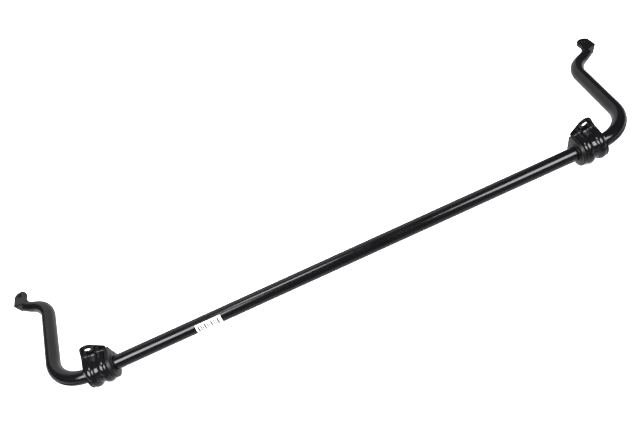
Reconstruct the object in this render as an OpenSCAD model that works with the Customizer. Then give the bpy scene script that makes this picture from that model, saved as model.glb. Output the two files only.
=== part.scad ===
// Vehicle stabiliser bar: round bar with two bent arms and forged eyes, carried
// in two split rubber bushes, each held by a ribbed pressed-steel bracket.
// Units mm, +Z up. X runs along the straight bar, the arms point to +Y.

/* [Bar] */
// Diameter of the round bar
bar_d = 24; // [14:0.5:40]
// Distance between the corner points, where each arm's line meets the bar's line
corner_span = 1030; // [600:1:1500]
// Bend radius of the two main corners, on the centre line
corner_r = 66; // [30:1:120]
// Lean of each arm outwards from square to the bar, in degrees
arm_splay = 5.5; // [0:0.5:30]
// Arm length from corner point to corner point
arm_len = 198; // [120:1:350]
// Bend radius near the eye, on the centre line
end_r = 50; // [25:1:100]
// Direction of the last straight piece, in degrees from the bar's direction
end_a = 29; // [0:1:80]
// Length of the last straight piece, where the bar is drawn down to the eye
end_len = 17; // [5:1:60]

/* [Forged eye] */
// Height of the eye's block, from its flat top to its foot
eye_t = 20; // [8:0.5:30]
// Thickness of the rounded tab that the hole goes through
tab_t = 8; // [4:0.5:20]
// Radius of the rounded boss round the hole
eye_r = 12; // [8:0.5:25]
// Diameter of the drop link bolt hole
eye_hole_d = 10.5; // [6:0.5:20]
// Hole centre outboard of the end of the drawn-down piece
eye_dx = 14.5; // [0:0.5:50]
// Hole centre in the arm direction from the end of the drawn-down piece
eye_dy = 28; // [0:0.5:60]
// Outer corner of the eye's flat front face, measured back from the hole centre
eye_front = 22; // [10:0.5:40]
// Turn of the flat front face from the bar's direction, in degrees
eye_skew = 11; // [0:1:30]

/* [Bush] */
// Distance of each bracket's middle from the centre of the bar
bracket_x = 436; // [200:1:700]
// Radial gap between bar and bush bore
bush_gap = 0.15; // [0.01:0.01:0.5]
// Outer radius of the plain part of the bush
bush_r = 17.45; // [14:0.05:30]
// Radius of the shoulder at the inner end
shoulder_r = 22.5; // [18:0.5:35]
// Thickness of the shoulder at the inner end
shoulder_t = 6; // [2:0.5:15]
// Width of the slit that lets the bush open over the bar
slit_w = 0.8; // [0.4:0.1:2]

/* [Bracket] */
// Turn of the mounting face from upright, in degrees about the bar
tilt = 12; // [0:1:45]
// Sheet thickness
sheet = 3; // [1.5:0.1:5]
// Width of the strap along the bar
strap_w = 38; // [25:1:60]
// Spacing of the two ribs along the bar
rib_pitch = 22; // [14:1:35]
// Outer radius of each rib's section
rib_r = 9; // [5:0.5:14]
// Height of a rib's crest above the bar's axis
crest_r = 24.7; // [20:0.1:40]
// Distance of the mounting face from the bar's axis
face_h = 24; // [16:0.5:40]
// Distance of each bolt hole from the bar's axis, along the flange
bolt_off = 35; // [25:0.5:60]
// Diameter of each bolt hole
bolt_d = 10.5; // [6:0.5:16]

/* [Label] */
// Length of the label along the bar
label_l = 44; // [20:1:100]
// Height of the label round the bar
label_h = 17.5; // [8:1:30]
// Distance of the label's middle from the centre of the bar
label_x = 245.5; // [0:1:400]
// Thickness of the label
label_t = 0.1; // [0.05:0.05:0.3]

/* [Hidden] */
tube_fn = 48;
nose_r = 13;
br = bar_d / 2;
leg_a = 90 - arm_splay;
t1 = corner_r * tan(leg_a / 2);
t2 = end_r * tan((leg_a - end_a) / 2);
c1x = corner_span / 2 - t1;
l0x = c1x + corner_r * sin(leg_a);
l0y = corner_r - corner_r * cos(leg_a);
leg_s = arm_len - t1 - t2;
l1x = l0x + leg_s * cos(leg_a);
l1y = l0y + leg_s * sin(leg_a);
c2x = l1x + end_r * sin(leg_a);
c2y = l1y - end_r * cos(leg_a);
e0x = c2x - end_r * sin(end_a);
e0y = c2y + end_r * cos(end_a);
px = e0x + end_len * cos(end_a);
py = e0y + end_len * sin(end_a);
hx = px + eye_dx;
hy = py + eye_dy;
// the row's origin is under the middle of the whole assembly
top_y = hy + eye_r;
shift_y = -(top_y - crest_r) / 2;
ear_w = bolt_off + nose_r;
shift_z = ear_w * cos(tilt) - (face_h - sheet) * sin(tilt);

module at_row() { translate([0, shift_y, shift_z]) children(); }

// round rod of radius r, from (x, y) in the arm plane, towards angle a
module rod(x, y, a, len, r) {
    translate([x, y, 0]) rotate([0, 0, a]) rotate([0, 90, 0])
        cylinder(r = r, h = len, $fn = tube_fn);
}

// bent rod, a hair fuller than the straights: centre (x, y), bend radius rad, from a0 over da
module elbow(x, y, rad, a0, da, fn) {
    translate([x, y, 0]) rotate([0, 0, a0])
        rotate_extrude(angle = da, $fn = fn)
            translate([rad, 0]) circle(r = br + 0.1, $fn = tube_fn);
}

// plan of the forged eye, from the drawn-down piece to the round boss
module eye_outline() {
    fx = hx + eye_r - 0.4;
    fy = hy - eye_front;
    hw = 9.8;
    translate([hx, hy]) circle(r = eye_r, $fn = 96);
    polygon([
        [px + hw * sin(end_a) - 1.5 * cos(end_a), py - hw * cos(end_a) - 1.5 * sin(end_a)],
        [hx - 9.5, fy - 20 * tan(eye_skew)], [fx - 1.5, fy], [fx, fy + 1.5], [fx, hy + 1],
        [hx - eye_r + 0.3, hy + 1], [hx - eye_r + 0.3, hy - 12],
        [px - hw * sin(end_a) - 1.5 * cos(end_a), py + hw * cos(end_a) - 1.5 * sin(end_a)]
    ]);
}

// one arm, drawn for the +X side
module arm() {
    ca = cos(end_a);
    sa = sin(end_a);
    elbow(c1x, corner_r, corner_r, -90, leg_a, 96);
    rod(l0x - 0.5 * cos(leg_a), l0y - 0.5 * sin(leg_a), leg_a, leg_s + 1, br);
    elbow(c2x, c2y, end_r, end_a + 90, leg_a - end_a, 96);
    // drawn-down piece, a long cone that ends inside the eye
    translate([e0x - 0.5 * ca, e0y - 0.5 * sa, 0]) rotate([0, 0, end_a])
        rotate([0, 90, 0])
            cylinder(r1 = br, r2 = eye_t / 2 - 1.5, h = end_len + 8, $fn = tube_fn);
    // the eye, with its neck rounded off where it leaves the drawn-down piece
    difference() {
        translate([0, 0, -eye_t / 2]) linear_extrude(height = eye_t) eye_outline();
        // its underside slopes up from the block's foot to the thin tab
        translate([hx - 30, 0, 0]) rotate([90, 0, 90]) linear_extrude(height = 60)
            polygon([[hy - 17, -eye_t / 2 - 1], [hy - 9, eye_t / 2 - tab_t],
                     [hy + 40, eye_t / 2 - tab_t], [hy + 40, -eye_t / 2 - 1]]);
        // and its outer side leans in towards the foot
        translate([hx + eye_r - 0.4, hy - 60, eye_t / 2 - 2]) rotate([0, 15, 0])
            translate([0, 0, -40]) cube([40, 120, 40]);
        translate([px, py, 0]) rotate([0, 0, end_a]) rotate([0, 90, 0])
            translate([0, 0, -6]) difference() {
                cylinder(r = 30, h = 10, $fn = 48);
                translate([0, 0, -1]) cylinder(r1 = 10.9, r2 = 14.4, h = 12, $fn = 48);
            }
    }
}

module bar() {
    color("#17181a") at_row() difference() {
        union() {
            rod(-c1x - 0.5, 0, 0, 2 * c1x + 1, br);
            arm();
            mirror([1, 0, 0]) arm();
        }
        for (s = [-1, 1]) translate([s * hx, hy, -eye_t])
            cylinder(d = eye_hole_d, h = 2 * eye_t, $fn = 64);
    }
}

// thin printed label wrapped on the front of the bar
module label() {
    half = label_h / 2 / br * 180 / PI;
    color("#f4f4f1") at_row() translate([-label_x - label_l / 2, 0, 0])
        rotate([0, 90, 0]) rotate([0, 0, -101 - half])
            rotate_extrude(angle = 2 * half, $fn = 180)
                translate([br, 0]) square([label_t, label_l]);
}

// section of the strap or bush against the bar: x along the bar, y away from its axis
module rib_rounds(r) {
    for (s = [-1, 1]) translate([s * rib_pitch / 2, crest_r - rib_r]) circle(r = r, $fn = 64);
}

module strap_section() {
    r_in = bush_r + 0.05;
    difference() {
        union() {
            translate([-strap_w / 2, r_in]) square([strap_w, sheet]);
            // turned-up rim on the outer edge
            translate([-strap_w / 2, r_in]) square([1.5, sheet + 2.6]);
            rib_rounds(rib_r);
        }
        rib_rounds(rib_r - sheet);
        translate([-100, r_in - 100]) square([200, 100]);
        // the ribs' roots end level with the strap's edges
        for (s = [-1, 1]) translate([s * (strap_w / 2 + 20) - 20, 0]) square([40, 60]);
    }
}

module rib_fill_section() {
    intersection() {
        rib_rounds(rib_r - sheet - 0.05);
        translate([-100, bush_r - 1]) square([200, 100]);
    }
}

// sweeps a section half way round the bar, crown to -Y, then straight to +Y by len
module u_sweep(len) {
    rotate([0, 90, 0]) rotate([0, 0, -180]) rotate_extrude(angle = 180, $fn = 96)
        rotate([0, 0, 90]) mirror([0, 1, 0]) children();
    for (s = [0, 1]) mirror([0, 0, s]) rotate([90, 0, 0]) mirror([0, 0, 1])
        linear_extrude(height = len) children();
}

// pressed strap with two bolt ears, drawn at the origin with its face to +Y
module bracket_shape() {
    r_out = bush_r + 0.05 + sheet;
    difference() {
        union() {
            u_sweep(face_h - 0.5) strap_section();
            for (s = [0, 1]) mirror([0, 0, s]) translate([0, face_h, 0])
                rotate([90, 0, 0]) linear_extrude(height = sheet) ear_outline();
        }
        for (s = [-1, 1]) translate([0, face_h + 5, s * bolt_off]) rotate([90, 0, 0])
            cylinder(d = bolt_d, h = 40, $fn = 64);
    }
}

// plan of one ear: its root reaches past the strap on the shoulder's side, its nose is round
module ear_outline() {
    root = bush_r + 0.05;
    end_i = strap_w / 2 + shoulder_t;
    translate([0, bolt_off]) circle(r = nose_r, $fn = 64);
    polygon([[-strap_w / 2, root], [end_i, root], [end_i, root + 4.5],
             [nose_r * cos(35), bolt_off + nose_r * sin(35)],
             [-nose_r * cos(35), bolt_off + nose_r * sin(35)],
             [-strap_w / 2, root + 8]]);
}

// bush for the -X side, drawn at the origin; its shoulder faces the middle of the bar
module bush_shape() {
    end_i = strap_w / 2 + shoulder_t;
    difference() {
        union() {
            u_sweep(face_h) translate([-strap_w / 2, 0]) square([strap_w + shoulder_t, bush_r]);
            // rubber that fills the ribs, and the shoulder outside the strap, both short of the ears
            u_sweep(face_h - sheet - 0.05) rib_fill_section();
            u_sweep(face_h - sheet - 0.05) translate([strap_w / 2 + 0.05, 0])
                square([shoulder_t - 0.05, shoulder_r]);
            // lips round the bar at both ends
            rotate([0, 90, 0]) translate([0, 0, end_i]) cylinder(r = 16, h = 1.5, $fn = 96);
            rotate([0, 90, 0]) translate([0, 0, -strap_w / 2 - 1.5])
                cylinder(r = 15.5, h = 1.5, $fn = 96);
        }
        rotate([0, 90, 0]) translate([0, 0, -60])
            cylinder(r = br + bush_gap, h = 120, $fn = 96);
        translate([-60, 0, -slit_w / 2]) cube([120, 60, slit_w]);
    }
}

module left_place() {
    at_row() translate([-bracket_x, 0, 0]) rotate([tilt, 0, 0]) children();
}

module left_bush() { color("#2a2a2b") left_place() bush_shape(); }

module right_bush() {
    color("#2a2a2b") mirror([1, 0, 0]) left_place() bush_shape();
}

module left_bracket() { color("#101113") left_place() bracket_shape(); }

module right_bracket() {
    color("#101113") mirror([1, 0, 0]) left_place() bracket_shape();
}

bar();
label();
left_bush();
right_bush();
left_bracket();
right_bracket();
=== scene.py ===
import math

import bmesh
import bpy
from mathutils import Matrix, Vector


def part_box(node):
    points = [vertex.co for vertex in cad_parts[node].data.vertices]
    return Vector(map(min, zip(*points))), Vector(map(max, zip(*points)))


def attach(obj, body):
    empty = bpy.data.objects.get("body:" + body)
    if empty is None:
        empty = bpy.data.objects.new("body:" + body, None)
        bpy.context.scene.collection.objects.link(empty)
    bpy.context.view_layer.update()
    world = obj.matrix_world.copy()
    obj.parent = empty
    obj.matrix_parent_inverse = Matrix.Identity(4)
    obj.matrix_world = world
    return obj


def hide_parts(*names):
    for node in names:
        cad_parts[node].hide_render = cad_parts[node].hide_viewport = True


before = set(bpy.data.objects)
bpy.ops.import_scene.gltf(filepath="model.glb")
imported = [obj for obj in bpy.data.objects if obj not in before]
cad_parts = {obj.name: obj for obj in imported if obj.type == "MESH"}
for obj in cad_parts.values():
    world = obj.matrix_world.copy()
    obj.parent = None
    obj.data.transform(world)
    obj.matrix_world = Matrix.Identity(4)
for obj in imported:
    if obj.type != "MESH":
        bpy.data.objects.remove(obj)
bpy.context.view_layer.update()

# ---------------------------------------------------------------------------
# Where it is seen from: a camera held above the middle of the bar, about 1.1 m
# off and tipped so that the bar climbs across the picture.
camera_lens = bpy.data.cameras.new("camera")
camera_lens.sensor_width = 36.0
camera_lens.lens = 35.7116
camera = bpy.data.objects.new("camera", camera_lens)
camera.location = (-0.02691, -0.81465, 0.80460)
camera.rotation_euler = [math.radians(a) for a in (44.611, 17.0162, -17.7776)]
bpy.context.collection.objects.link(camera)
bpy.context.scene.camera = camera


# ---------------------------------------------------------------------------
# The floor: matt white paper laid flat under the part, wide enough to fill
# the picture. The part stands on the ends of its lower bracket ears.
def from_hex(colour):
    """An sRGB hex colour as the linear RGBA that the shaders take."""
    parts = [int(colour[i:i + 2], 16) / 255 for i in (1, 3, 5)]
    return [c / 12.92 if c <= 0.04045 else ((c + 0.055) / 1.055) ** 2.4 for c in parts] + [1.0]


def add_node(material, kind, settings={}, links={}):
    """Adds one node: settings go to its properties or unlinked sockets, links say what feeds each socket."""
    made = material.node_tree.nodes.new(kind)
    for name, value in settings.items():
        if isinstance(name, str) and hasattr(made, name):
            setattr(made, name, value)
        else:
            made.inputs[name].default_value = value
    for name, (source, output) in links.items():
        material.node_tree.links.new(source.outputs[output], made.inputs[name])
    return made


def new_material(name):
    """An empty node material and its output."""
    material = bpy.data.materials.new(name)
    material.use_nodes = True
    material.node_tree.nodes.clear()
    return material


def as_object(name, mesh_in_hand, material):
    """Turns a bmesh into an object at the origin, smooth except at its sharp corners."""
    bmesh.ops.recalc_face_normals(mesh_in_hand, faces=mesh_in_hand.faces[:])
    for face in mesh_in_hand.faces:
        face.smooth = True
    for edge in mesh_in_hand.edges:
        edge.smooth = not (edge.is_manifold and edge.calc_face_angle() > math.radians(38))
    mesh = bpy.data.meshes.new(name)
    mesh_in_hand.to_mesh(mesh)
    mesh_in_hand.free()
    mesh.materials.append(material)
    made = bpy.data.objects.new(name, mesh)
    bpy.context.collection.objects.link(made)
    return made


# White paper floor: matt and evenly white to look at, while gloss paint mirrors a painted reflection instead,
# a glow that only gloss rays see: bright under the part, painted dark beyond it.
paper_glow = 0.5
paper_with_painted_reflection = new_material("white_paper_with_painted_reflection")
place = add_node(paper_with_painted_reflection, "ShaderNodeTexCoord")
apart = add_node(paper_with_painted_reflection, "ShaderNodeSeparateXYZ", {}, {"Vector": (place, "Object")})
across = add_node(paper_with_painted_reflection, "ShaderNodeMath", {"operation": "ABSOLUTE"}, {0: (apart, "X")})
# the painted reflection glow fades out just past the corners of the bar and in front of it, leaving
# painted dark bands in the reflections, and is bright again past the eyes, all in metres from the part's
# middle
inside = add_node(paper_with_painted_reflection, "ShaderNodeMapRange",
                  {"From Min": 0.50, "From Max": 0.56, "To Min": 1.0, "To Max": 0.05},
                  {"Value": (across, "Value")})
before = add_node(paper_with_painted_reflection, "ShaderNodeMapRange",
                  {"From Min": -0.27, "From Max": -0.14, "To Min": 0.1, "To Max": 1.0},
                  {"Value": (apart, "Y")})
reflection_under_bar = add_node(paper_with_painted_reflection, "ShaderNodeMath", {"operation": "MULTIPLY"},
                  {0: (inside, "Result"), 1: (before, "Result")})
reflection_past_eyes = add_node(paper_with_painted_reflection, "ShaderNodeMapRange", {"From Min": 0.597, "From Max": 0.608},
                {"Value": (across, "Value")})
painted_reflection_mask = add_node(paper_with_painted_reflection, "ShaderNodeMath", {"operation": "MAXIMUM"},
               {0: (reflection_under_bar, "Value"), 1: (reflection_past_eyes, "Result")})
# painted reflection: an emission that no lamp gives, shaped by the masks above into a bright band under the
# part and painted dark bands beside the legs
painted_reflection = add_node(paper_with_painted_reflection, "ShaderNodeEmission", {"Color": from_hex("#ffffff")},
                 {"Strength": (painted_reflection_mask, "Value")})
matt = add_node(paper_with_painted_reflection, "ShaderNodeBsdfDiffuse", {"Color": from_hex("#fbfbfa")})
ray = add_node(paper_with_painted_reflection, "ShaderNodeLightPath")
even = add_node(paper_with_painted_reflection, "ShaderNodeMath", {"operation": "MULTIPLY", 1: paper_glow},
                {0: (ray, "Is Camera Ray")})
glow = add_node(paper_with_painted_reflection, "ShaderNodeEmission", {"Color": from_hex("#ffffff")},
                {"Strength": (even, "Value")})
bright = add_node(paper_with_painted_reflection, "ShaderNodeAddShader", {}, {0: (matt, "BSDF"), 1: (glow, "Emission")})
# gloss rays see the painted reflection glow, every other ray the evenly white paper
either = add_node(paper_with_painted_reflection, "ShaderNodeMixShader", {},
                  {0: (ray, "Is Glossy Ray"), 1: (bright, "Shader"), 2: (painted_reflection, "Emission")})
add_node(paper_with_painted_reflection, "ShaderNodeOutputMaterial", links={"Surface": (either, "Shader")})
floor_half = 9.0
floor_gap = 0.0005
floor_mesh = bmesh.new()
bmesh.ops.create_grid(floor_mesh, x_segments=1, y_segments=1, size=floor_half)
bmesh.ops.translate(floor_mesh, verts=floor_mesh.verts, vec=(0, 0, -floor_gap))
floor = as_object("floor", floor_mesh, paper_with_painted_reflection)


# ---------------------------------------------------------------------------
# The studio: a wide overhead light for the floor, three softboxes that draw
# the bright lines along the bar, and a dim white screen behind the part.
def soft_light(name, place, aim, size, watts, in_gloss=True):
    """A rectangular softbox at place, turned to aim, of size (width, height)."""
    lamp = bpy.data.lights.new(name, "AREA")
    lamp.shape = "RECTANGLE"
    lamp.size, lamp.size_y = size
    lamp.energy = watts
    made = bpy.data.objects.new(name, lamp)
    turn = (Vector(aim) - Vector(place)).to_track_quat("-Z", "Y")
    made.matrix_world = Matrix.Translation(place) @ turn.to_matrix().to_4x4()
    made.visible_camera = False
    made.visible_glossy = in_gloss
    bpy.context.collection.objects.link(made)


soft_light("overhead", (0.0, 0.4, 3.0), (0.0, 0.4, 0.0), (5.0, 5.0), 330, in_gloss=False)
soft_light("left_box", (-0.97, -0.95, 1.25), (-0.45, -0.12, 0.04), (1.05, 0.8), 28)
soft_light("right_box", (1.02, -0.95, 1.25), (0.45, -0.12, 0.04), (0.98, 0.8), 26)
soft_light("top_box", (-0.23, -0.20, 1.3), (-0.2, -0.12, 0.04), (0.42, 0.32), 4.4)
soft_light("back_screen", (-0.26, 1.0, 1.1), (-0.26, 0.0, 1.1), (2.12, 2.2), 9.6)

world = bpy.data.worlds.new("studio")
world.use_nodes = True
world.node_tree.nodes["Background"].inputs["Color"].default_value = from_hex("#ffffff")
world.node_tree.nodes["Background"].inputs["Strength"].default_value = 0.07
bpy.context.scene.world = world
# plain display curve: white paper comes out white without glaring over dark edges
bpy.context.scene.view_settings.view_transform = "Standard"


# ---------------------------------------------------------------------------
# The bar: 24 mm spring steel rod, bent cold to a shallow U in one plane, its
# ends drawn down and forged into flat eyes, then dipped in black gloss paint.
MM = 0.001
bar_radius = 12.0 * MM
corner_radius = 66.0 * MM
corner_start = 455.05 * MM
leg_angle = math.radians(84.5)
leg_length = 111.74 * MM
end_radius = 50.0 * MM
end_angle = math.radians(29.0)
end_taper = 17.0 * MM
neck_radius = 9.7 * MM
eye_thick = 20.0 * MM
tab_thick = 8.0 * MM
boss_radius = 12.0 * MM
hole_radius = 5.25 * MM
hole_from_neck = (14.5, 28.0, 0)
front_from_hole = 22.0 * MM

bar_low, bar_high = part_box("bar")
axis_place = Vector((0.0, bar_low[1] + bar_radius + 0.1 * MM, (bar_low[2] + bar_high[2]) / 2))


def towards(angle):
    """The direction in the bar's plane at that angle from +X."""
    return Vector((math.cos(angle), math.sin(angle), 0.0))


corner_centre = Vector((corner_start, corner_radius, 0))
leg_start = corner_centre + corner_radius * towards(leg_angle - math.pi / 2)
leg_end = leg_start + leg_length * towards(leg_angle)
end_centre = leg_end + end_radius * towards(leg_angle - math.pi / 2)
taper_start = end_centre + end_radius * towards(end_angle + math.pi / 2)
neck = taper_start + end_taper * towards(end_angle)
hole = neck + Vector(hole_from_neck) * MM


# Black gloss electrocoat on a shot-peened bar: a deep black with a tight,
# bright reflection that the slight orange peel of the dried paint breaks up.
cloud_mm = 45.0


def gloss_coat(name, colour, roughness, peel_mm, peel_depth_mm, pit_mm, pit_depth_mm):
    """Gloss paint: colour and roughness swing between two values in clouds, peel and pits make the relief."""
    material = new_material(name)
    place = add_node(material, "ShaderNodeTexCoord")
    peel = add_node(material, "ShaderNodeTexNoise",
                    {"Scale": 1.0 / (peel_mm * MM), "Detail": 2.0, "Roughness": 0.5},
                    {"Vector": (place, "Object")})
    pits = add_node(material, "ShaderNodeTexNoise",
                    {"Scale": 1.0 / (pit_mm * MM), "Detail": 3.0, "Roughness": 0.6},
                    {"Vector": (place, "Object")})
    cloud = add_node(material, "ShaderNodeTexNoise",
                     {"Scale": 1.0 / (cloud_mm * MM), "Detail": 4.0, "Roughness": 0.55},
                     {"Vector": (place, "Object")})
    shade = add_node(material, "ShaderNodeValToRGB", {}, {"Fac": (cloud, "Fac")})
    shade.color_ramp.elements[0].position, shade.color_ramp.elements[1].position = 0.3, 0.75
    shade.color_ramp.elements[0].color = from_hex(colour[0])
    shade.color_ramp.elements[1].color = from_hex(colour[1])
    gloss = add_node(material, "ShaderNodeMapRange",
                     {"From Min": 0.3, "From Max": 0.7, "To Min": roughness[0], "To Max": roughness[1]},
                     {"Value": (cloud, "Fac")})
    wave = add_node(material, "ShaderNodeBump", {"Strength": 1.0, "Distance": peel_depth_mm * MM},
                    {"Height": (peel, "Fac")})
    dent = add_node(material, "ShaderNodeBump", {"Strength": 1.0, "Distance": pit_depth_mm * MM},
                    {"Height": (pits, "Fac"), "Normal": (wave, "Normal")})
    shader = add_node(material, "ShaderNodeBsdfPrincipled", {"IOR": 1.5},
                      {"Base Color": (shade, "Color"), "Roughness": (gloss, "Result"),
                       "Normal": (dent, "Normal")})
    add_node(material, "ShaderNodeOutputMaterial", links={"Surface": (shader, "BSDF")})
    return material


bar_paint = gloss_coat("black_electrocoat_on_spring_steel", ("#070709", "#0a0a0c"), (0.13, 0.18),
                       peel_mm=7.0, peel_depth_mm=0.05, pit_mm=1.6, pit_depth_mm=0.012)


def through_modifiers(made):
    """The object's mesh with its modifiers worked in, as a bmesh; the object itself goes."""
    done = bmesh.new()
    done.from_object(made, bpy.context.evaluated_depsgraph_get())
    bpy.data.objects.remove(made)
    return done


def only_verts(geom):
    """The vertices among what an operator returned."""
    return [g for g in geom if isinstance(g, bmesh.types.BMVert)]


def draw_on(piece, edges, step, grow=1.0, centre=None):
    """Extrudes an open ring of edges by step, scales it by grow about centre, and returns the new ring."""
    drawn = bmesh.ops.extrude_edge_only(piece, edges=edges)["geom"]
    verts = only_verts(drawn)
    bmesh.ops.translate(piece, verts=verts, vec=step)
    if grow != 1.0:
        bmesh.ops.scale(piece, verts=verts, vec=(grow, grow, grow), space=Matrix.Translation(-centre))
    return [g for g in drawn if isinstance(g, bmesh.types.BMEdge)]


# the forged eye: a deep block with a skewed front, a thin rounded tab behind it,
# and the neck, as hammered together
eye = bmesh.new()
front = hole.y - front_from_hole
outer = hole.x + boss_radius - 0.2 * MM
block_side = 9.8 * MM
block_start = neck + 1.5 * MM * towards(end_angle)
foot = Vector((0, 0, -eye_thick / 2))
neck_out = block_start + block_side * towards(end_angle - math.pi / 2)
neck_in = block_start + block_side * towards(end_angle + math.pi / 2)
plan = [neck_out, Vector((hole.x - 9.5 * MM, front - 3.9 * MM, 0)), Vector((outer, front, 0)),
        Vector((outer, hole.y - 9 * MM, 0)), Vector((hole.x - 11.7 * MM, hole.y - 12 * MM, 0)), neck_in]
block = eye.faces.new([eye.verts.new(p + foot) for p in plan])
lifted = bmesh.ops.extrude_face_region(eye, geom=[block])["geom"]
bmesh.ops.translate(eye, verts=only_verts(lifted), vec=(0, 0, eye_thick))
back_slope = 8.0 * MM
side_lean = 5.0 * MM
for vert in eye.verts:
    if vert.co.z < 0 and vert.co.y > hole.y - 12.5 * MM:
        # the block's back slopes up from its foot to the underside of the tab
        vert.co.y -= back_slope
    if vert.co.z < 0 and vert.co.x > hole.x:
        # and its outer side leans in towards the foot
        vert.co.x -= side_lean
shoulder = [e for e in eye.edges if all((v.co.xy - neck.xy).length < 11 * MM for v in e.verts)]
bmesh.ops.bevel(eye, geom=shoulder, offset=4 * MM, offset_type="OFFSET", segments=3, profile=0.5,
                affect="EDGES", material=-1)
tab_foot = Vector((0, 0, eye_thick / 2 - tab_thick))
tab_inner, tab_outer, tab_root = -11.7, 11.8, -14.0
tab_plan = ((tab_inner, tab_root), (tab_outer, tab_root), (tab_outer, 0), (tab_inner, 0))
tab = eye.faces.new([eye.verts.new(Vector((x * MM, y * MM, 0)) + hole + tab_foot) for x, y in tab_plan])
lifted = bmesh.ops.extrude_face_region(eye, geom=[tab])["geom"]
bmesh.ops.translate(eye, verts=only_verts(lifted), vec=(0, 0, tab_thick))
boss_middle = hole + tab_foot + Vector((0, 0, tab_thick / 2))
bmesh.ops.create_cone(eye, cap_ends=True, segments=96, radius1=boss_radius, radius2=boss_radius,
                      depth=tab_thick, matrix=Matrix.Translation(boss_middle))
# the stem of the eye, a little fatter than the drawn-down rod where they meet
joint_line = neck - 6 * MM * towards(end_angle)
stem = Matrix.Translation(joint_line) @ Matrix.Rotation(end_angle, 4, "Z") \
    @ Matrix.Rotation(math.pi / 2, 4, "Y")
bmesh.ops.create_cone(eye, cap_ends=True, segments=96, radius1=neck_radius * 1.13,
                      radius2=neck_radius * 0.95, depth=30 * MM, matrix=stem)
eye = as_object("eye_blank", eye, bar_paint)
weld = eye.modifiers.new("forge", "REMESH")
weld.mode = "VOXEL"
weld.voxel_size = 0.8 * MM
eye = through_modifiers(eye)
smooth_passes = 10
for _ in range(smooth_passes):
    bmesh.ops.smooth_vert(eye, verts=eye.verts, factor=0.5,
                          use_axis_x=True, use_axis_y=True, use_axis_z=True)

# the hole is punched through the boss once it is forged, its rims eased
drill = bmesh.new()
bmesh.ops.create_cone(drill, cap_ends=True, segments=64, radius1=hole_radius, radius2=hole_radius,
                      depth=eye_thick * 1.5, matrix=Matrix.Translation(hole))
rim_ease = 1.2 * MM
for rim_height, flare in ((eye_thick / 2 - tab_thick, -rim_ease), (eye_thick / 2, rim_ease)):
    bmesh.ops.create_cone(drill, cap_ends=True, segments=64, depth=2 * rim_ease,
                          radius1=hole_radius - flare, radius2=hole_radius + flare,
                          matrix=Matrix.Translation(hole + Vector((0, 0, rim_height))))
drill = as_object("drill", drill, bar_paint)
eye = as_object("eye_blank", eye, bar_paint)
punch = eye.modifiers.new("punch", "BOOLEAN")
punch.operation = "DIFFERENCE"
punch.solver = "EXACT"
punch.use_self = True
punch.object = drill
eye = through_modifiers(eye)
bpy.data.objects.remove(drill)
bmesh.ops.bisect_plane(eye, geom=eye.verts[:] + eye.edges[:] + eye.faces[:], plane_co=joint_line,
                       plane_no=towards(end_angle), clear_inner=True, clear_outer=False)
eye_mesh = bpy.data.meshes.new("eye_half")
eye.to_mesh(eye_mesh)
eye.free()

# the rod itself, half of it, from the middle out to the neck of the eye
around, middle_steps, corner_steps, leg_steps = 64, 10, 28, 6
bar = bmesh.new()
bmesh.ops.create_circle(bar, cap_ends=False, segments=around, radius=bar_radius,
                        matrix=Matrix.Rotation(math.pi / 2, 4, "Y"))
ring = bar.edges[:]
for _ in range(middle_steps):
    ring = draw_on(bar, ring, (corner_start / middle_steps, 0, 0))
turned = bmesh.ops.spin(bar, geom=ring, cent=corner_centre, axis=(0, 0, 1), dvec=(0, 0, 0),
                        angle=leg_angle, steps=corner_steps, use_merge=False, use_normal_flip=False,
                        use_duplicate=False)["geom_last"]
ring = [g for g in turned if isinstance(g, bmesh.types.BMEdge)]
for _ in range(leg_steps):
    ring = draw_on(bar, ring, towards(leg_angle) * leg_length / leg_steps)
# the second bend is drawn down as it turns, and on to the neck of the eye
along, size = leg_end.copy(), 1.0
turn_steps, neck_steps, drawn_from = 22, 6, 8
step_angle = (leg_angle - end_angle) / turn_steps
for k in range(1, turn_steps + neck_steps + 1):
    if k <= turn_steps:
        spot = end_centre + end_radius * towards(leg_angle + math.pi / 2 - step_angle * k)
    else:
        spot = taper_start + towards(end_angle) * (end_taper - 6.6 * MM) * (k - turn_steps) / neck_steps
    eased = max(0.0, (k - drawn_from) / (turn_steps + neck_steps - drawn_from))
    wanted = 1 - (1 - neck_radius * 1.03 / bar_radius) * (0.5 - 0.5 * math.cos(math.pi * eased))
    ring = draw_on(bar, ring, spot - along, grow=wanted / size, centre=spot)
    if k <= turn_steps:
        bmesh.ops.rotate(bar, verts=list({v for e in ring for v in e.verts}), cent=spot,
                         matrix=Matrix.Rotation(-step_angle, 3, "Z"))
    along, size = spot, wanted
bar.from_mesh(eye_mesh)
open_rings = [e for e in bar.edges if e.is_boundary and e.verts[0].co.x > corner_start]
bmesh.ops.bridge_loops(bar, edges=open_rings)
bmesh.ops.mirror(bar, geom=bar.verts[:] + bar.edges[:] + bar.faces[:], axis="X", merge_dist=1e-6)
bmesh.ops.remove_doubles(bar, verts=bar.verts, dist=1e-6)
bmesh.ops.translate(bar, verts=bar.verts, vec=axis_place)
bar = as_object("stabiliser_bar", bar, bar_paint)
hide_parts("bar")
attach(bar, "bar")


# ---------------------------------------------------------------------------
# The label: a white polyester film stuck on the front of the bar, printed
# with a plain row of black stripes and no words or numbers.
label_low, label_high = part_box("label")
label_length = label_high[0] - label_low[0]
stripe_pitch = 3.7 * MM
swing_length = 11.0 * MM
end_margin = 2.6 * MM
print_middle = 1.9 * MM
print_half = 5.6 * MM

# White gloss film with black print: a clean white that stays a little glossy.
film = new_material("printed_polyester_film")
place = add_node(film, "ShaderNodeTexCoord")
centred = add_node(film, "ShaderNodeMapping", {"Location": (-label_low[0], -axis_place.y, -axis_place.z)},
                   {"Vector": (place, "Object")})
apart = add_node(film, "ShaderNodeSeparateXYZ", {}, {"Vector": (centred, "Vector")})
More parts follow.
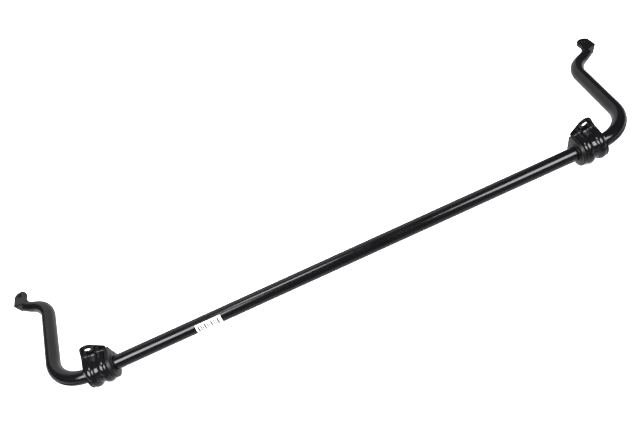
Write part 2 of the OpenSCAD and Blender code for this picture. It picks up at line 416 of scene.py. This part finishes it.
# stripes 1 mm to 3 mm wide, wider than real ones so that they show, their
# spacing made uneven by a slow swing
slow = add_node(film, "ShaderNodeMath", {"operation": "MULTIPLY", 1: 2 * math.pi / swing_length},
                {0: (apart, "X")})
swing = add_node(film, "ShaderNodeMath", {"operation": "SINE"}, {0: (slow, "Value")})
phase = add_node(film, "ShaderNodeMath", {"operation": "MULTIPLY_ADD", 1: 2 * math.pi / stripe_pitch},
                 {0: (apart, "X"), 2: (swing, "Value")})
wave = add_node(film, "ShaderNodeMath", {"operation": "SINE"}, {0: (phase, "Value")})
stripe = add_node(film, "ShaderNodeMath", {"operation": "GREATER_THAN", 1: -0.1}, {0: (wave, "Value")})
left_edge = add_node(film, "ShaderNodeMath", {"operation": "GREATER_THAN", 1: end_margin},
                     {0: (apart, "X")})
right_edge = add_node(film, "ShaderNodeMath", {"operation": "LESS_THAN", 1: label_length - end_margin},
                      {0: (apart, "X")})
# a white margin is left above and below the stripes too
clear = add_node(film, "ShaderNodeMath", {"operation": "COMPARE", 1: print_middle, 2: print_half},
                 {0: (apart, "Z")})
ends_clear = add_node(film, "ShaderNodeMath", {"operation": "MULTIPLY"},
                      {0: (left_edge, "Value"), 1: (right_edge, "Value")})
inside = add_node(film, "ShaderNodeMath", {"operation": "MULTIPLY"},
                  {0: (ends_clear, "Value"), 1: (clear, "Value")})
inked = add_node(film, "ShaderNodeMath", {"operation": "MULTIPLY"},
                 {0: (stripe, "Value"), 1: (inside, "Value")})
print_colour = add_node(film, "ShaderNodeMix",
                        {"data_type": "RGBA", 6: from_hex("#f4f4f2"), 7: from_hex("#1b1b1d")},
                        {0: (inked, "Value")})
grain = add_node(film, "ShaderNodeTexNoise", {"Scale": 1 / (0.8 * MM), "Detail": 2.0},
                 {"Vector": (place, "Object")})
film_bump = add_node(film, "ShaderNodeBump", {"Distance": 0.01 * MM}, {"Height": (grain, "Fac")})
film_shader = add_node(film, "ShaderNodeBsdfPrincipled", {"Roughness": 0.35, "IOR": 1.55},
                       {"Base Color": (print_colour, 2), "Normal": (film_bump, "Normal")})
add_node(film, "ShaderNodeOutputMaterial", links={"Surface": (film_shader, "BSDF")})
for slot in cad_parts["label"].material_slots:
    slot.material = film


# ---------------------------------------------------------------------------
# The brackets: 3 mm steel strip, cut to a blank with rounded ends, pressed
# with two ribs, bent over the bush and down to two bolt ears, painted black.
strip_thick = 3.0 * MM
strip_half = 19.0 * MM
crown_radius = 20.5 * MM
face_height = 24.0 * MM
fold_radius = 5.0 * MM
rib_places = (-10.6 * MM, 10.6 * MM)
rib_circle = 9.4 * MM
rib_height = 4.2 * MM
lip_width = 3.2 * MM
lip_height = 2.6 * MM
nose_radius = 13.0 * MM
nose_meets = math.radians(35.0)
ear_flare = 5.6 * MM
bolt_place = 35.0 * MM
bolt_radius = 5.25 * MM
bracket_place = 436.0 * MM
rest_tilt = math.radians(12.0)

# Black gloss e-coat on pressed strip: near-black, glossier than the bar, with
# broad soft dents from the press.
bracket_coat = gloss_coat("black_gloss_coat_on_pressed_steel", ("#08080a", "#0e0e10"), (0.11, 0.17),
                          peel_mm=9.0, peel_depth_mm=0.12, pit_mm=2.2, pit_depth_mm=0.015)


def strip_path(s):
    """Where the strip's outer face runs, s along it from the crown.

    Returns its place along Y and along Z, the direction it faces there as (y, z),
    and how much of a rib's height is left, which fades out round the fold.
    """
    side_sign = 1.0 if s >= 0 else -1.0
    s = abs(s)
    bend_at = face_height - strip_thick - fold_radius
    arc = crown_radius * math.pi / 2
    if s <= arc:
        a = s / crown_radius
        y, z = -crown_radius * math.cos(a), crown_radius * math.sin(a)
        facing, fade = (-math.cos(a), math.sin(a)), 1.0
    elif s <= arc + bend_at:
        y, z, facing, fade = s - arc, crown_radius, (0.0, 1.0), 1.0
    elif s <= arc + bend_at + fold_radius * math.pi / 2:
        a = (s - arc - bend_at) / fold_radius
        y = bend_at + fold_radius * math.sin(a)
        z = crown_radius + fold_radius - fold_radius * math.cos(a)
        facing, fade = (-math.sin(a), math.cos(a)), 0.5 + 0.5 * math.cos(a)
    else:
        run = s - arc - bend_at - fold_radius * math.pi / 2
        y, z, facing = face_height - strip_thick, crown_radius + fold_radius + run, (-1.0, 0.0)
        fade = 0.5 * max(0.0, 1 - run / (4 * MM)) ** 2
    return y, z * side_sign, (facing[0], facing[1] * side_sign), fade


def rib(x):
    """How far the pressed ribs stand out of the strip at x, their feet eased into it."""
    tall = 0.0
    for place_x in rib_places:
        d = abs(x - place_x)
        if d < rib_circle:
            tall = max(tall, math.sqrt(rib_circle ** 2 - d ** 2) - (rib_circle - rib_height))
    from_lip = -strip_half + lip_width - x
    if from_lip > 0:
        # the strip's outer edge is turned up into a small lip
        tall = max(tall, lip_height * min(1.0, from_lip / (lip_width / 2)))
    return tall


ear_end = bolt_place + nose_radius
half_length = crown_radius * math.pi / 2 + (face_height - strip_thick - fold_radius) \
    + fold_radius * math.pi / 2 + (ear_end - crown_radius - fold_radius)


def strip_width(z, side_sign):
    """Half the strip's width where its outer face is at height z.

    Full over the bush, wider at the root of an ear on the side of the bush's
    shoulder, then tapering to a round nose.
    """
    z = abs(z)
    flare_z = crown_radius + 0.2 * MM
    root_z = crown_radius + 2.5 * MM
    root_x = strip_half + (ear_flare if side_sign > 0 else 0.0)
    if z <= flare_z:
        return strip_half
    if z <= root_z:
        return strip_half + (root_x - strip_half) * (z - flare_z) / (root_z - flare_z)
    nose_z = bolt_place + nose_radius * math.sin(nose_meets)
    nose_x = nose_radius * math.cos(nose_meets)
    if z < nose_z:
        return root_x + (nose_x - root_x) * (z - root_z) / (nose_z - root_z)
    return math.sqrt(max(nose_radius ** 2 - (z - bolt_place) ** 2, (0.6 * MM) ** 2))


def pressed_bracket(name):
    """The bent strip about the bar's axis, its mounting face to +Y, as a bmesh."""
    strip = bmesh.new()
    across, down, crowding = 56, 210, 0.06
    bmesh.ops.create_grid(strip, x_segments=across, y_segments=down, size=1.0)
    for vert in strip.verts:
        # rows crowd towards the noses, where the width changes fastest
        v = vert.co.y
        s = half_length * (v + crowding * math.sin(math.pi * v))
        y, z, facing, fade = strip_path(s)
        x = vert.co.x * strip_width(z, vert.co.x)
        tall = rib(x) * fade
        vert.co = (x, y + facing[0] * tall, z + facing[1] * tall)
    made = as_object(name, strip, bracket_coat)
    skin = made.modifiers.new("strip", "SOLIDIFY")
    skin.thickness = strip_thick
    skin.offset = 1.0
    skin.use_even_offset = True
    return through_modifiers(made)


holes = bmesh.new()
for z in (-bolt_place, bolt_place):
    drill_line = Matrix.Translation((0, face_height, z)) @ Matrix.Rotation(math.pi / 2, 4, "X")
    bmesh.ops.create_cone(holes, cap_ends=True, segments=64, radius1=bolt_radius, radius2=bolt_radius,
                          depth=20 * MM, matrix=drill_line)
holes = as_object("bolt_drill", holes, bracket_coat)
for side_name, side_sign in (("left", -1), ("right", 1)):
    strip = as_object("strip", pressed_bracket("strip"), bracket_coat)
    drilled = strip.modifiers.new("drill", "BOOLEAN")
    drilled.operation = "DIFFERENCE"
    drilled.solver = "EXACT"
    drilled.object = holes
    eased = strip.modifiers.new("eased", "BEVEL")
    eased.width = 0.5 * MM
    eased.segments = 2
    eased.limit_method = "ANGLE"
    eased.angle_limit = math.radians(50)
    strip = through_modifiers(strip)
    if side_sign > 0:
        # the same pressing turned end over end, so that its wide side faces inwards too
        bmesh.ops.rotate(strip, verts=strip.verts, cent=(0, 0, 0), matrix=Matrix.Rotation(math.pi, 3, "Y"))
    bmesh.ops.rotate(strip, verts=strip.verts, cent=(0, 0, 0), matrix=Matrix.Rotation(rest_tilt, 3, "X"))
    bmesh.ops.translate(strip, verts=strip.verts, vec=axis_place + Vector((side_sign * bracket_place, 0, 0)))
    strip = as_object(side_name + "_strap", strip, bracket_coat)
    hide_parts(side_name + "_bracket")
    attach(strip, side_name + "_bracket")
bpy.data.objects.remove(holes)


# ---------------------------------------------------------------------------
# The bushes: one-piece moulded rubber, slit at the back so that it snaps over
# the bar, with a shoulder on the inner side that keeps the strap in place.

# EPDM rubber, moulded: soft charcoal black, dull, with a fine pebbled skin
# and a faint grey bloom.
rubber = new_material("moulded_epdm_rubber")
place = add_node(rubber, "ShaderNodeTexCoord")
pebble = add_node(rubber, "ShaderNodeTexNoise", {"Scale": 1 / (0.9 * MM), "Detail": 3.0},
                  {"Vector": (place, "Object")})
bloom = add_node(rubber, "ShaderNodeTexNoise", {"Scale": 1 / (14 * MM), "Detail": 4.0},
                 {"Vector": (place, "Object")})
rubber_shade = add_node(rubber, "ShaderNodeValToRGB", {}, {"Fac": (bloom, "Fac")})
rubber_shade.color_ramp.elements[0].position, rubber_shade.color_ramp.elements[1].position = 0.35, 0.75
rubber_shade.color_ramp.elements[0].color = from_hex("#050505")
rubber_shade.color_ramp.elements[1].color = from_hex("#0a0a0a")
rubber_bump = add_node(rubber, "ShaderNodeBump", {"Distance": 0.03 * MM}, {"Height": (pebble, "Fac")})
rubber_shader = add_node(rubber, "ShaderNodeBsdfPrincipled", {"Roughness": 0.42, "IOR": 1.45},
                         {"Base Color": (rubber_shade, "Color"), "Normal": (rubber_bump, "Normal")})
add_node(rubber, "ShaderNodeOutputMaterial", links={"Surface": (rubber_shader, "BSDF")})

mould_radius = 0.6 * MM
for side_name in ("left", "right"):
    moulded = bmesh.new()
    moulded.from_mesh(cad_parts[side_name + "_bush"].data)
    bmesh.ops.remove_doubles(moulded, verts=moulded.verts, dist=1e-6)
    bmesh.ops.dissolve_limit(moulded, angle_limit=math.radians(0.6), use_dissolve_boundaries=False,
                             verts=moulded.verts, edges=moulded.edges)
    corners = [e for e in moulded.edges if e.is_manifold and e.calc_face_angle() > math.radians(50)]
    bmesh.ops.bevel(moulded, geom=corners, offset=mould_radius, segments=3, profile=0.5, affect="EDGES",
                    material=-1, offset_type="OFFSET", clamp_overlap=True)
    moulded = as_object(side_name + "_bush_rubber", moulded, rubber)
    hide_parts(side_name + "_bush")
    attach(moulded, side_name + "_bracket")
